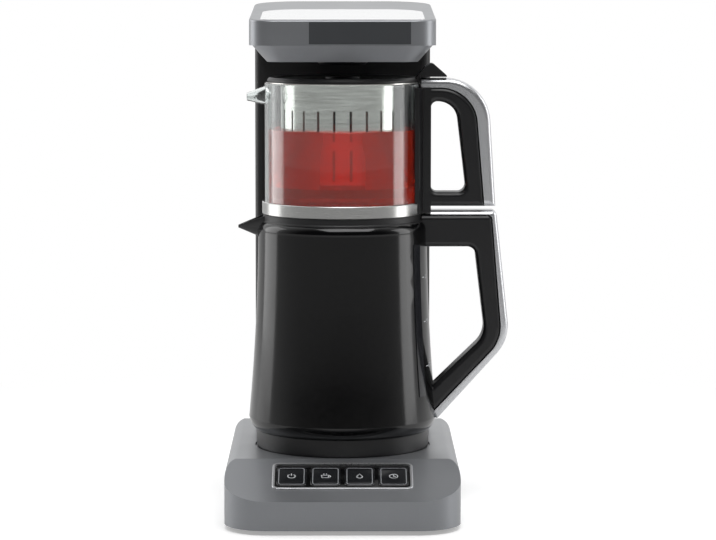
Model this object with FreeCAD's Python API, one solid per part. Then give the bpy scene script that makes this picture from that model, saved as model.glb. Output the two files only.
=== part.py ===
# Automatic tea maker: a kettle and a glass teapot stacked under a brewing head.
# Millimetres, +Z up, the front faces -Y. Sizes are given about the kettle's axis, and the finished
# pieces are moved so that the origin is the centre of the whole object's footprint, at the feet.
import FreeCAD, Part
import math
import os

V = FreeCAD.Vector

cutter_reach = 500.0        # size of the plain blocks that cut whole regions away

# Clearances
slide_gap = 0.3             # between pieces that move past each other
rest_gap = 0.3              # under a piece that only rests on another
shaft_gap = 0.05            # radial clearance of the impeller's shaft

# Base
base_width = 183.0
base_front = 140.0          # kettle axis to the front face
base_rear = 140.0           # kettle axis to the rear face
base_front_radius = 34.0
base_rear_radius = 26.0
deck_height = 48.0
deck_edge_radius = 9.0
rim_height = 26.0           # the crisp edge along the top of the front face
slope_start = 72.0          # where the deck begins to fall, ahead of the axis
base_wall = 2.4
recess_depth = 1.2          # shallow seat that locates the kettle
tray_thickness = 2.5
foot_height = 3.5
foot_radius = 9.0
foot_from_side = 24.0
foot_from_end = 30.0
foot_plug_radius = 3.0
foot_chamfer = 1.0
tray_gap = 0.1              # between the tray's edge and the cover's wall
boss_radius = 4.5
boss_from_side = 13.0
boss_from_end = 46.0
screw_radius = 1.5
screw_grip = 9.0            # how far a screw reaches past the wall that it holds
screw_hole_spare = 1.0      # depth left under the tip of a screw
screw_head_radius = 2.9
screw_head_height = 1.8
vent_count = 7
vent_pitch = 9.0
vent_width = 3.0
vent_length = 44.0
seat_gap = 1.5              # around the kettle's foot in its seat
port_gap = 1.0              # around a hose or a nipple where it passes the deck
gland_radius = 6.0
gland_bore = 3.4
gland_height = 20.0
gland_lip = 1.5
gland_lip_thickness = 1.4

# Button panel, measured on the slope
panel_distance = 100.0      # kettle axis to the panel's centre
panel_width = 109.0
panel_length = 42.5
panel_radius = 5.0
panel_frame_width = 2.0
panel_frame_proud = 0.8
panel_frame_depth = 6.0
fascia_sunk = 0.8
fascia_thickness = 4.0
button_count = 4
button_spacing = 3.2        # strip of fascia between two buttons
button_side_margin = 1.3    # from the outer buttons to the panel's frame
button_end_margin = 4.25
button_radius = 3.5
button_edge_radius = 0.7
button_dish_radius = 90.0   # the hollow on top of a button, curved from front to back
button_dish_depth = 0.5
button_proud = 0.9          # above the fascia
button_travel = 1.2
button_flange = 1.0         # thickness and reach of the flange that holds a button in
button_stem_radius = 3.0
button_stem_length = 3.5
board_depth = 14.5
board_thickness = 1.6
board_length = 34.0
board_side = 7.5            # how far the board reaches past the panel on each side
board_post_radius = 2.6
board_post_inset = 4.0
switch_size = 6.2
switch_knob_radius = 1.7
switch_knob_height = 1.0

# Power board, on short legs on the tray
power_board_from_side = 12.0
power_board_width = 35.5
power_board_start = 20.0    # behind the kettle's axis
power_board_length = 62.0
board_leg_radius = 3.0
board_leg_height = 6.0
board_leg_inset = 5.0
part_margin = 4.0           # from a component to the board's edge
transformer_size = (18.0, 20.0, 16.0)
relay_size = (9.0, 19.0, 12.0)
terminals_size = (8.0, 18.0, 9.0)
capacitor_radius = 4.0
capacitor_height = 14.0

# Cordless connection and water coupling
socket_radius = 20.0
socket_height = 2.8         # above the deck
pin_radius = 4.0
pin_height = 5.0            # above the deck
socket_depth = 9.0
socket_flange = 4.0
socket_flange_thickness = 2.0
socket_edge = 1.2
pin_nose = 1.5
groove_inner = 10.0
groove_outer = 13.0
groove_depth = 4.0
track_width = 1.0           # ring contact in the socket's groove
connector_wall = 3.0
connector_skirt = 1.0
nipple_distance = 44.0      # behind the kettle's axis
nipple_radius = 4.0
nipple_bore = 2.5
nipple_flange = 7.5
nipple_flange_thickness = 1.2
nipple_edge = 0.8
nipple_tail = 12.0
seal_ring_width = 0.6
seal_ring_height = 1.6

# Pump and hoses
pump_distance = 104.0       # behind the kettle's axis
pump_radius = 17.0
pump_half = 10.0
pump_edge = 2.0
pump_spigot = 6.0
pump_outlet_drop = 6.0      # from the deck down to the end of the pump's outlet
pump_foot_half = 12.0
pump_foot_sunk = 1.0        # how far the foot and the cradle reach into the round wall
impeller_radius = 12.5
impeller_height = 7.0
impeller_blades = 6
impeller_gap = 1.2          # around the impeller's rim
impeller_side_gap = 1.0
impeller_hub_radius = 3.2
impeller_plate = 1.2
blade_thickness = 1.2
shaft_radius = 1.6
shaft_seal_gap = 0.4
shaft_reach = 14.0
motor_radius = 14.0
motor_length = 44.0
motor_edge = 1.0
cradle_margin = 6.0
cradle_half = 9.0
hose_radius = 4.0
hose_bore = 2.5
hose_bend = 11.0
hose_side = 32.0            # how far the suction hose swings out
hose_fall = 6.0             # from the pump's inlet down to the hose's run under the nipple

# Tower
tower_width = 145.0
tower_front = 80.0
tower_rear = 125.0
tower_split = 101.0
tower_wall = 2.2
tower_edge_radius = 7.0
tower_rear_radius = 36.0
tower_screw_low = 24.0      # above the deck
tower_screw_high = 30.0     # below the head
tower_screw_head_height = 1.4

# Head
head_side_overhang = 0.5    # past the tower
head_rear_overhang = 2.0
head_front = 70.0
head_front_radius = 20.0
head_rear_radius = 38.0
head_split_height = 371.0   # seam between the upper and lower housings
head_floor_drop = 13.0      # from the seam down to the floor
head_front_height = 19.5    # from the seam up to the top's front edge
head_top_angle = 3.7        # the top falls towards the front
head_edge_radius = 1.4
head_wall = 2.4
lower_taper = 11.5          # how far the lower housing draws in towards its floor
lower_front_radius = 14.0
tongue_height = 5.0
top_plate_margin = 9.0
top_plate_front_margin = 4.5
top_plate_front_radius = 8.0
top_plate_rear_radius = 30.0
top_plate_length = 102.0
top_plate_thickness = 1.2
top_plate_proud = 0.3
front_panel_left = 26.0
front_panel_right = 53.0
front_panel_margin = 1.2
front_panel_thickness = 1.2
front_panel_proud = 0.3
nozzle_radius = 20.0
nozzle_drop = 3.5           # below the head's floor
nozzle_edge = 1.5
nozzle_wall = 3.5
nozzle_flange = 4.0
nozzle_flange_thickness = 1.6
nozzle_cone_radius = 9.0
nozzle_cone_height = 4.0
nozzle_spigot = 5.0
nozzle_holes = 8
nozzle_hole_radius = 1.2
nozzle_hole_circle = 11.0
seal_thickness = 1.2
seal_drop = 0.8

# Kettle
kettle_top_radius = 67.6
kettle_middle_radius = 71.2
kettle_bottom_radius = 75.4
kettle_middle_height = 124.0
kettle_bulge_height = 72.0
kettle_base_radius = 69.5
kettle_base_height = 61.5
kettle_wall = 1.5
collar_radius = 63.6
collar_bottom = 229.0
shoulder_drop = 7.0         # from the wall's top edge down to the shoulder
kettle_shoulder_height = collar_bottom - shoulder_drop
collar_top = 235.0
collar_thickness = 2.4
collar_step = 0.8           # how far the collar's lower edge stands proud, level with the wall
collar_skirt = 2.0          # how far the collar reaches down inside the wall's shoulder
mouth_radius = 46.0
shoulder_bow = (0.7, 1.2)   # how far the shoulder's arc bows out and up
heel_bow = (1.65, 0.6)      # how far the heel's arc bows out and up
foot_ring_radius = 69.0
foot_ring_wall = 4.0
foot_ring_chamfer = 1.0
foot_web = 3.5
plate_thickness = 2.5
plate_hole_radius = 3.5
element_loop_radius = 42.0
element_radius = 3.2
element_gap = 24.0          # between the two ends of the loop
window_angle = -30.0        # about the axis, from the handle towards the front
window_width = 10.0
window_bottom = 92.0
window_top = 213.0
window_proud = 0.6
valve_radius = 9.0
valve_wall = 2.2
valve_throat = 4.9
valve_throat_height = 2.2
valve_clearance = 2.9       # from the kettle's seat up to the valve's housing
valve_travel = 1.2
plunger_disc = 1.8
plunger_stem_radius = 1.5
plunger_stem_proud = 2.0    # above the heating plate
spring_coil_radius = 4.4
spring_wire_radius = 0.5
spring_turns = 5
spout_reach = 83.6
spout_tip_height = 225.8
spout_root_height = 213.5
spout_half_width = 15.0
spout_tip_half_width = 2.6
spout_tip_depth = 2.2
spout_wall = 1.8
spout_way_margin = 4.0      # from the way through the wall to the spout's edge
spout_root_inside = 8.0     # how far inside the wall the beak's form begins
kettle_lift = 6.5

# Kettle handle, side outline in X and Z
kettle_grip_width = 26.0
kettle_arm_top = 234.8
kettle_arm_bottom = 209.2
kettle_grip_outer_top = 119.5
kettle_grip_outer_x = 128.0
kettle_grip_outer_z = 134.0
kettle_grip_inner_top = 105.8
kettle_grip_inner_x = 114.3
kettle_grip_inner_z = 138.0
kettle_tip_top = 97.0
kettle_tip_bottom = 74.6
kettle_tip_x = 72.0
kettle_cover_thickness = 6.2
kettle_cover_top = 3.4
kettle_cover_start = 70.5
kettle_cover_foot = 8.0     # how far up the wall the cover's lower end reaches
grip_edge_radius = 4.0
cover_edge_radius = 4.5
cover_side_step = 1.0       # the cover is this much narrower than the grip on each side

# Teapot
band_radius = 64.4
band_height = 10.0
band_floor = 1.0
band_opening = 50.0
glass_radius = 62.2
glass_wall = 2.4
glass_floor = 3.0
glass_top = 340.0
glass_bottom_radius = 7.0
glass_rim_radius = 1.0
band_edge = 0.6
glass_spout_reach = 76.4
glass_spout_height = 329.5
glass_spout_rise = 1.6      # the root's middle is this much higher than the tip's
glass_spout_root = 12.0
glass_spout_root_half_height = 9.0
glass_spout_tip = 3.6
glass_spout_tip_half_height = 3.0
glass_spout_wall = 2.0
glass_spout_inside = 6.0    # how far inside the glass the spout's form begins
infuser_radius = 49.5
infuser_wall = 0.7
infuser_bottom = 258.0
infuser_edge = 3.0
infuser_flange_radius = 61.4
infuser_slot_rows = 2
infuser_slots = 24
infuser_slot_width = 2.0
infuser_slot_height = 24.0
infuser_slot_pitch = 31.0
infuser_slot_start = 6.0    # from the infuser's floor up to the first row
lid_radius = 60.0
lid_thickness = 3.4
lid_edge_height = 1.6
lid_rim_width = 5.0
lid_slope_width = 4.0
lid_sunk = 1.0              # the lid's field below its rim
lid_plug_depth = 2.6
lid_plug_wall = 2.0
lid_hole_radius = 12.0
lid_hole_rim = 1.6
lid_lift = 3.0
tab_width = 22.0
tab_gap = 1.1               # above the handle's cover
tab_peak_x = 71.5
tab_peak_height = 356.0
tab_end_x = 83.0
tab_shoulder = 5.5          # from the tab's peak back to its shoulder
strap_half_width = 24.0
strap_thickness = 3.0
strap_bottom = 236.6

# Teapot handle, side outline in X and Z
teapot_grip_width = 24.0
teapot_arm_top = 336.3
teapot_arm_bottom = 325.2
teapot_grip_bottom = 241.7
teapot_opening_bottom = 253.0
teapot_bar_x = 70.5
teapot_grip_outer_top = 105.4
teapot_grip_outer_bottom = 113.4
teapot_grip_inner_top = 90.2
teapot_grip_inner_bottom = 98.8
teapot_cover_top = 7.4
teapot_cover_side_top = 10.4
teapot_cover_side_bottom = 8.8
cover_start_gap = 0.6       # from the glass to the cover's inner end

# Worked-out places
head_width = tower_width + 2 * head_side_overhang
head_rear = tower_rear + head_rear_overhang
head_bottom_height = head_split_height - head_floor_drop
head_top_height = head_split_height + head_front_height
button_pitch = (panel_width - 2 * panel_frame_width - 2 * button_side_margin + button_spacing) / button_count
button_width = button_pitch - button_spacing
button_length = panel_length - 2 * panel_frame_width - 2 * button_end_margin
seat_height = deck_height - recess_depth
tray_top = foot_height + tray_thickness
slope_rise = (deck_height - rim_height) / (base_front - slope_start)
slope_angle = math.degrees(math.atan(slope_rise))
panel_height = deck_height - (panel_distance - slope_start) * slope_rise
teapot_seat = collar_top + rest_gap
glass_bottom = teapot_seat + band_floor
lid_bottom = glass_top + infuser_wall + rest_gap
lid_top = lid_bottom + lid_thickness
pump_height = tray_top + pump_radius + pump_edge
pump_outlet_height = deck_height - pump_outlet_drop
power_board_height = tray_top + board_leg_height
plate_bottom = kettle_bulge_height
grip_root = kettle_top_radius - 8.0


def rounded_polygon(points, plane="XZ"):
    """A flat face through (a, b, radius) corners, each corner rounded by a tangent arc."""
    def place(a, b):
        return V(a, 0, b) if plane == "XZ" else V(a, b, 0)

    corners = []
    count = len(points)
    for i, (a, b, radius) in enumerate(points):
        here = place(a, b)
        back = place(*points[i - 1][:2]).sub(here).normalize()
        ahead = place(*points[(i + 1) % count][:2]).sub(here).normalize()
        if radius <= 0:
            corners.append((here, None, here))
            continue
        half = back.getAngle(ahead) / 2
        reach = radius / math.tan(half)
        middle = back.add(ahead).normalize()
        bend = here.add(middle.multiply(radius / math.sin(half) - radius))
        corners.append((here.add(back * reach), bend, here.add(ahead * reach)))
    edges = []
    for i, (start, bend, end) in enumerate(corners):
        if bend is not None:
            edges.append(Part.Arc(start, bend, end).toShape())
        following = corners[(i + 1) % count][0]
        if end.distanceToPoint(following) > 1e-6:
            edges.append(Part.LineSegment(end, following).toShape())
    return Part.Face(Part.Wire(edges))


def plan(width, front, rear, front_radius, rear_radius, inset=0.0):
    """A plan outline, centred on X, from -front to rear along Y, drawn in by inset."""
    half = width / 2 - inset
    low = -front + inset
    high = rear - inset
    near = max(front_radius - inset, 0.5)
    far = max(rear_radius - inset, 0.5)
    return rounded_polygon([(-half, low, near), (half, low, near), (half, high, far),
                            (-half, high, far)], "XY")


def prism(face, low, high):
    solid = face.extrude(V(0, 0, high - low))
    solid.translate(V(0, 0, low))
    return solid


def slab(face, width, middle=0.0):
    """An outline in XZ given an even width along Y."""
    solid = face.extrude(V(0, width, 0))
    solid.translate(V(0, middle - width / 2, 0))
    return solid


def disc(radius, low, high, x=0.0, y=0.0):
    return Part.makeCylinder(radius, high - low, V(x, y, low))


def ring(outer, inner, low, high, x=0.0, y=0.0):
    return disc(outer, low, high, x, y).cut(disc(inner, low - 1, high + 1, x, y))


def block(x, y, z):
    """A box between two limits along each axis."""
    return Part.makeBox(x[1] - x[0], y[1] - y[0], z[1] - z[0], V(x[0], y[0], z[0]))


def soft_block(x, y, low, high, radius):
    """An upright block with rounded corners in plan."""
    points = [(x[0], y[0], radius), (x[1], y[0], radius), (x[1], y[1], radius), (x[0], y[1], radius)]
    return prism(rounded_polygon(points, "XY"), low, high)


def turned(points, arcs=()):
    """A solid of revolution from (radius, height) points; arcs maps a point's index to the middle
    of an arc that runs from that point to the next."""
    middles = dict(arcs)
    edges = []
    for i, (r, z) in enumerate(points):
        r2, z2 = points[(i + 1) % len(points)]
        start = V(r, 0, z)
        end = V(r2, 0, z2)
        if i in middles:
            edges.append(Part.Arc(start, V(middles[i][0], 0, middles[i][1]), end).toShape())
        elif start.distanceToPoint(end) > 1e-6:
            edges.append(Part.LineSegment(start, end).toShape())
    return Part.Face(Part.Wire(edges)).revolve(V(0, 0, 0), V(0, 0, 1), 360)


def at(shape, x=0.0, y=0.0, z=0.0):
    moved = shape.copy()
    moved.translate(V(x, y, z))
    return moved


def on_slope(shape):
    """Take a shape drawn flat about the panel's centre to the sloping front of the deck."""
    moved = shape.copy()
    turn = FreeCAD.Rotation(V(1, 0, 0), slope_angle)
    moved.Placement = FreeCAD.Placement(V(0, -panel_distance, panel_height), turn).multiply(moved.Placement)
    return moved


def on_head_top(shape):
    """Take a shape drawn flat behind the head's front edge to the sloping top of the head."""
    moved = shape.copy()
    turn = FreeCAD.Rotation(V(1, 0, 0), head_top_angle)
    moved.Placement = FreeCAD.Placement(V(0, -head_front, head_top_height), turn).multiply(moved.Placement)
    return moved


def smooth_edges(shape, radius, chosen):
    edges = [e for e in shape.Edges if chosen(e)]
    return shape.makeFillet(radius, edges)


def group(solids):
    return Part.makeCompound(solids)


def hose(points, bend):
    """A hose along straight runs joined by tangent arcs."""
    vectors = [V(*p) for p in points]
    edges = []
    start = vectors[0]
    for i in range(1, len(vectors) - 1):
        here = vectors[i]
        back = vectors[i - 1].sub(here).normalize()
        ahead = vectors[i + 1].sub(here).normalize()
        half = back.getAngle(ahead) / 2
        radius = min(bend, 0.9 * (vectors[i + 1].sub(here)).Length * math.tan(half))
        reach = radius / math.tan(half)
        first = here.add(back * reach)
        last = here.add(ahead * reach)
        middle = back.add(ahead).normalize()
        edges.append(Part.LineSegment(start, first).toShape())
        edges.append(Part.Arc(first, here.add(middle * (radius / math.sin(half) - radius)), last).toShape())
        start = last
    edges.append(Part.LineSegment(start, vectors[-1]).toShape())
    path = Part.Wire(edges)
    way = vectors[1].sub(vectors[0]).normalize()
    outer = Part.Wire(Part.makeCircle(hose_radius, vectors[0], way))
    inner = Part.Wire(Part.makeCircle(hose_bore, vectors[0], way))
    return path.makePipeShell([outer], True, False).cut(path.makePipeShell([inner], True, False))


# Base
def base_form(inset):
    """The base's outer form, drawn in by inset: plan, cross-section and side profile meet."""
    outline = plan(base_width, base_front, base_rear, base_front_radius, base_rear_radius, inset)
    body = prism(outline, foot_height, deck_height)
    half = base_width / 2 - inset
    top = deck_height - inset
    edge = max(deck_edge_radius - inset, 0.5)
    section = rounded_polygon([(-half, 0, 0), (half, 0, 0), (half, top, edge), (-half, top, edge)])
    body = body.common(slab(section, cutter_reach))
    drop = inset / math.cos(math.radians(slope_angle))
    bend = -slope_start + (drop - inset) / slope_rise
    front = -base_front - 1.0
    front_top = deck_height - drop + (front + slope_start) * slope_rise
    side = rounded_polygon([(front, 0, 0), (base_rear - inset, 0, 0), (base_rear - inset, top, edge),
                            (bend, top, 0), (front, front_top, 0)])
    profile = slab(side, base_width + 10.0)
    profile.rotate(V(0, 0, 0), V(0, 0, 1), 90)
    return body.common(profile)


def boss_places():
    x = base_width / 2 - boss_from_side
    return [(sx * x, y) for sx in (-1, 1) for y in (-base_front + boss_from_end, base_rear - boss_from_end)]


def foot_places():
    x = base_width / 2 - foot_from_side
    return [(sx * x, y) for sx in (-1, 1) for y in (-base_front + foot_from_end, base_rear - foot_from_end)]


def base_cover():
    inside = base_form(base_wall)
    inside = inside.fuse(at(inside, z=-foot_height)).removeSplitter()
    cover = base_form(0.0).cut(inside)
    within = base_form(base_wall / 2)
    posts = [disc(boss_radius, tray_top, deck_height, x, y).common(within) for x, y in boss_places()]
    cover = cover.multiFuse(posts)
    hole_top = tray_top + screw_grip + screw_hole_spare
    holes = [disc(screw_radius, 0, hole_top, x, y) for x, y in boss_places()]
    holes.append(disc(foot_ring_radius + seat_gap, seat_height, 2 * deck_height))
    below_deck = seat_height - 2 * base_wall
    holes.append(disc(socket_radius, below_deck, deck_height))
    holes.append(disc(nipple_radius + port_gap, below_deck, deck_height, 0, nipple_distance))
    holes.append(disc(hose_radius + port_gap, below_deck, 2 * deck_height, 0, pump_distance))
    opening = soft_block((-panel_width / 2, panel_width / 2), (-panel_length / 2, panel_length / 2),
                         -2 * panel_frame_depth, panel_frame_depth, panel_radius)
    holes.append(on_slope(opening))
    gland = Part.makeCylinder(gland_radius, 3 * base_wall, V(base_width / 4, base_rear + base_wall,
                                                             gland_height),
                              V(0, -1, 0))
    holes.append(gland)
    return cover.cut(group(holes)).removeSplitter()


def base_tray():
    tray = prism(plan(base_width, base_front, base_rear, base_front_radius, base_rear_radius,
                      base_wall + tray_gap), foot_height, tray_top)
    holes = []
    for x, y in boss_places():
        holes.append(disc(screw_radius, 0, tray_top + 1, x, y))
        holes.append(disc(screw_head_radius, 0, foot_height + screw_head_height, x, y))
    for x, y in foot_places():
        holes.append(disc(foot_plug_radius, 0, tray_top + 1, x, y))
    for i in range(vent_count):
        x = (i - (vent_count - 1) / 2) * vent_pitch
        holes.append(soft_block((x - vent_width / 2, x + vent_width / 2), (-vent_length / 2, vent_length / 2),
                                0, tray_top + 1, vent_width / 2))
    tray = tray.cut(group(holes))
    legs = [disc(board_leg_radius, tray_top, power_board_height, x, y) for x, y in power_board_corners()]
    return tray.multiFuse(legs).removeSplitter()


def rubber_feet():
    feet = []
    for x, y in foot_places():
        pad = turned([(0, 0), (foot_radius - foot_chamfer, 0), (foot_radius, foot_chamfer),
                      (foot_radius, foot_height), (foot_plug_radius, foot_height),
                      (foot_plug_radius, tray_top), (0, tray_top)])
        feet.append(at(pad, x, y))
    return group(feet)


def screw(length, head_radius=screw_head_radius, head_height=screw_head_height):
    """A pan-head screw that points up, its head's face at zero, with a round drive hole."""
    hole = head_radius * 0.3
    return turned([(0, hole / 2), (hole, hole / 2), (hole, 0), (head_radius * 0.8, 0),
                   (head_radius, head_height * 0.5), (head_radius, head_height), (screw_radius, head_height),
                   (screw_radius, length), (0, length)])


def base_screws():
    return group([at(screw(tray_thickness + screw_grip), x, y, foot_height) for x, y in boss_places()])


def cord_gland():
    x = base_width / 4
    y = base_rear
    lip = gland_radius + gland_lip
    body = turned([(gland_bore, -base_wall - gland_lip_thickness), (lip, -base_wall - gland_lip_thickness),
                   (lip, -base_wall), (gland_radius, -base_wall), (gland_radius, 0), (lip, 0),
                   (lip - gland_lip / 3, gland_lip_thickness), (gland_bore, gland_lip_thickness)])
    body.rotate(V(0, 0, 0), V(1, 0, 0), -90)
    return at(body, x, y, gland_height)


# Button panel
def panel_frame():
    half_x = panel_width / 2
    half_y = panel_length / 2
    inner_x = half_x - panel_frame_width
    inner_y = half_y - panel_frame_width
    outer = soft_block((-half_x, half_x), (-half_y, half_y), -panel_frame_depth, panel_frame_proud,
                       panel_radius)
    top_edges = [e for e in outer.Edges if abs(e.BoundBox.ZMin - panel_frame_proud) < 1e-3]
    outer = outer.makeFillet(panel_frame_proud * 0.7, top_edges)
    inner = soft_block((-inner_x, inner_x),
                       (-inner_y, inner_y), -panel_frame_depth - 1, panel_frame_proud + 1,
                       panel_radius - panel_frame_width)
    return on_slope(outer.cut(inner))


def button_x(index):
    return (index - (button_count - 1) / 2) * button_pitch


def button_panel():
    half_x = panel_width / 2 - panel_frame_width
    half_y = panel_length / 2 - panel_frame_width
    fascia = soft_block((-half_x, half_x), (-half_y, half_y), -fascia_sunk - fascia_thickness, -fascia_sunk,
                        panel_radius - panel_frame_width)
    hole_x = button_width / 2 + slide_gap
    hole_y = button_length / 2 + slide_gap
    holes = [soft_block((button_x(i) - hole_x, button_x(i) + hole_x), (-hole_y, hole_y), -20, 5,
                        button_radius + slide_gap) for i in range(button_count)]
    return on_slope(fascia.cut(group(holes)))


def button(index):
    x = button_x(index)
    half_x = button_width / 2
    half_y = button_length / 2
    low = -fascia_sunk - fascia_thickness
    top = -fascia_sunk + button_proud
    cap = soft_block((x - half_x, x + half_x), (-half_y, half_y), low - slide_gap, top, button_radius)
    top_edges = [e for e in cap.Edges if abs(e.BoundBox.ZMin - top) < 1e-3]
    cap = cap.makeFillet(button_edge_radius, top_edges)
    dish_start = V(x - half_x - 1, 0, top + button_dish_radius - button_dish_depth)
    cap = cap.cut(Part.makeCylinder(button_dish_radius, button_width + 2, dish_start, V(1, 0, 0)))
    flange_low = low - slide_gap - button_flange
    flange_x = half_x + button_flange
    flange_y = half_y + button_flange
    flange = soft_block((x - flange_x, x + flange_x), (-flange_y, flange_y), flange_low, low - slide_gap,
                        button_radius)
    stem_low = -board_depth + switch_height() + slide_gap + button_travel
    stem = disc(button_stem_radius, stem_low, flange_low, x)
    return on_slope(cap.multiFuse([flange, stem]).removeSplitter())


def switch_height():
    under_flange = fascia_sunk + fascia_thickness + slide_gap + button_flange
    return board_depth - under_flange - button_stem_length - button_travel


def board_reach():
    return panel_width / 2 + board_side


def control_board():
    half = board_reach()
    return on_slope(block((-half, half), (-board_length / 2, board_length / 2),
                          (-board_depth - board_thickness, -board_depth)))


def button_switches():
    half = switch_size / 2
    solids = []
    for i in range(button_count):
        x = button_x(i)
        top = -board_depth + switch_height()
        base = block((x - half, x + half), (-half, half), (-board_depth, top - switch_knob_height))
        knob = disc(switch_knob_radius, top - switch_knob_height, top, x)
        solids.append(on_slope(base.fuse(knob).removeSplitter()))
    return group(solids)


def board_posts():
    """Posts under the cover that carry the control board, beside the panel."""
    posts = []
    for side in (-1, 1):
        for end in (-1, 1):
            x = side * (board_reach() - board_post_inset)
            y = end * (board_length / 2 - board_post_inset)
            posts.append(on_slope(disc(board_post_radius, -board_depth, -base_wall / 2, x, y)))
    return group(posts)


def power_board_box():
    left = -base_width / 2 + power_board_from_side
    return (left, left + power_board_width), (power_board_start, power_board_start + power_board_length)


def power_board_corners():
    (x0, x1), (y0, y1) = power_board_box()
    inset = board_leg_inset
    return [(x, y) for x in (x0 + inset, x1 - inset) for y in (y0 + inset, y1 - inset)]


def power_board():
    x, y = power_board_box()
    return block(x, y, (power_board_height, power_board_height + board_thickness))


def board_parts():
    (x0, x1), (y0, y1) = power_board_box()
    low = power_board_height + board_thickness
    near_x = x0 + part_margin
    far_x = x1 - part_margin
    near_y = y0 + part_margin
    far_y = y1 - part_margin
    width, length, height = transformer_size
    transformer = block((near_x, near_x + width), (near_y, near_y + length), (low, low + height))
    width, length, height = relay_size
    relay = block((far_x - width, far_x), (near_y, near_y + length), (low, low + height))
    width, length, height = terminals_size
    terminals = block((near_x, near_x + width), (far_y - length, far_y), (low, low + height))
    capacitor = disc(capacitor_radius, low, low + capacitor_height, far_x - capacitor_radius,
                     far_y - 2 * capacitor_radius)
    return group([transformer, relay, terminals, capacitor])


# Cordless connection and water coupling
def kettle_socket():
    top = deck_height + socket_height
    low = deck_height - socket_depth
    flange = socket_radius + socket_flange
    flange_top = low + socket_flange_thickness
    return turned([(0, low), (flange, low), (flange, flange_top), (socket_radius, flange_top),
                   (socket_radius, top - socket_edge), (socket_radius - socket_edge, top),
                   (groove_outer, top),
                   (groove_outer, top - groove_depth), (groove_inner, top - groove_depth),
                   (groove_inner, top),
                   (pin_radius, top), (pin_radius, top - groove_depth), (0, top - groove_depth)])


def socket_contacts():
    top = deck_height + socket_height
    low = top - groove_depth
    high = deck_height + pin_height
    pin = turned([(0, low), (pin_radius, low), (pin_radius, high - pin_nose), (pin_radius - pin_nose, high),
                  (0, high)])
    track = ring(groove_inner + track_width, groove_inner, low, top - track_width)
    return group([pin, track])


def water_nipple():
    high = seat_height + kettle_lift - slide_gap
    flange_top = seat_height + nipple_flange_thickness
    body = turned([(nipple_bore, seat_height - nipple_tail), (nipple_radius, seat_height - nipple_tail),
                   (nipple_radius, seat_height), (nipple_flange, seat_height), (nipple_flange, flange_top),
                   (nipple_radius, flange_top), (nipple_radius, high - nipple_edge),
                   (nipple_radius - nipple_edge, high), (nipple_bore, high)])
    return at(body, 0, nipple_distance)


def nipple_seal():
    low = seat_height + nipple_flange_thickness
    seal = ring(nipple_radius + seal_ring_width, nipple_radius, low, low + seal_ring_height)
    return at(seal, 0, nipple_distance)


# Pump and hoses
def across(shape, x):
    """Turn a shape from the Z axis to the X axis and put it at the pump."""
    moved = shape.copy()
    moved.rotate(V(0, 0, 0), V(0, 1, 0), 90)
    return at(moved, x, pump_distance, pump_height)


def pump_body():
    half = pump_half
    cavity = impeller_radius + impeller_gap
    room = impeller_height / 2 + impeller_side_gap
    inlet = -half - pump_spigot
    shaft_hole = shaft_radius + shaft_seal_gap
    body = turned([(hose_bore, inlet), (hose_radius, inlet), (hose_radius, -half),
                   (pump_radius - pump_edge, -half),
                   (pump_radius, -half + pump_edge), (pump_radius, half), (shaft_hole, half),
                   (shaft_hole, room), (cavity, room), (cavity, -room), (hose_bore, -room)])
    body = across(body, 0)
    core = across(disc(pump_radius - pump_foot_sunk, -2 * half, 2 * half), 0)
    outlet = disc(hose_radius, pump_height, pump_outlet_height, 0, pump_distance).cut(core)
    bore = disc(hose_bore, pump_height + impeller_radius, deck_height, 0, pump_distance)
    foot = block((-half, half), (pump_distance - pump_foot_half, pump_distance + pump_foot_half),
                 (tray_top, pump_height)).cut(core)
    return body.multiFuse([outlet, foot]).cut(bore).removeSplitter()


def pump_impeller():
    half = impeller_height / 2
    hub = disc(impeller_hub_radius, -half, half)
    plate = disc(impeller_radius, -half, -half + impeller_plate)
    blade = block((impeller_hub_radius - blade_thickness / 2, impeller_radius - slide_gap),
                  (-blade_thickness / 2, blade_thickness / 2),
                  (-half + impeller_plate / 2, half - blade_thickness / 2))
    blades = []
    for i in range(impeller_blades):
        copy = blade.copy()
        copy.rotate(V(0, 0, 0), V(0, 0, 1), i * 360.0 / impeller_blades)
        blades.append(copy)
    shaft = disc(shaft_radius, half - blade_thickness, pump_half + shaft_reach)
    return across(hub.multiFuse([plate, shaft] + blades).removeSplitter(), 0)


def pump_motor():
    low = pump_half
    high = pump_half + motor_length
    edge = motor_edge
    bore = shaft_radius + shaft_gap
    bore_end = low + shaft_reach + impeller_side_gap
    body = turned([(bore, low), (motor_radius - edge, low), (motor_radius, low + edge),
                   (motor_radius, high - edge), (motor_radius - edge, high), (0, high), (0, bore_end),
                   (bore, bore_end)])
    cradle = block((low + cradle_margin, high - cradle_margin),
                   (pump_distance - cradle_half, pump_distance + cradle_half), (tray_top, pump_height))
    cradle = cradle.cut(across(disc(motor_radius - pump_foot_sunk, low, high), 0))
    return across(body, 0).fuse(cradle).removeSplitter()


def suction_hose():
    start_x = -pump_half - pump_spigot
    run_height = pump_height - hose_fall
    return hose([(start_x, pump_distance, pump_height), (-hose_side, pump_distance, pump_height),
                 (-hose_side, nipple_distance, run_height), (0, nipple_distance, run_height),
                 (0, nipple_distance, seat_height - nipple_tail)], hose_bend)


def riser_tube():
    high = (head_split_height + head_top_height + hose_radius) / 2
    return hose([(0, pump_distance, pump_outlet_height), (0, pump_distance, high), (0, 0, high),
                 (0, 0, nozzle_top())], hose_bend)


# Tower
def tower_shell():
    outer = plan(tower_width, -tower_front, tower_rear, tower_edge_radius, tower_rear_radius)
    inner = plan(tower_width, -tower_front, tower_rear, tower_edge_radius, tower_rear_radius, tower_wall)
    shell = prism(outer, deck_height, head_split_height)
    return shell.cut(prism(inner, deck_height - 1, head_split_height + 1))


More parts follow.
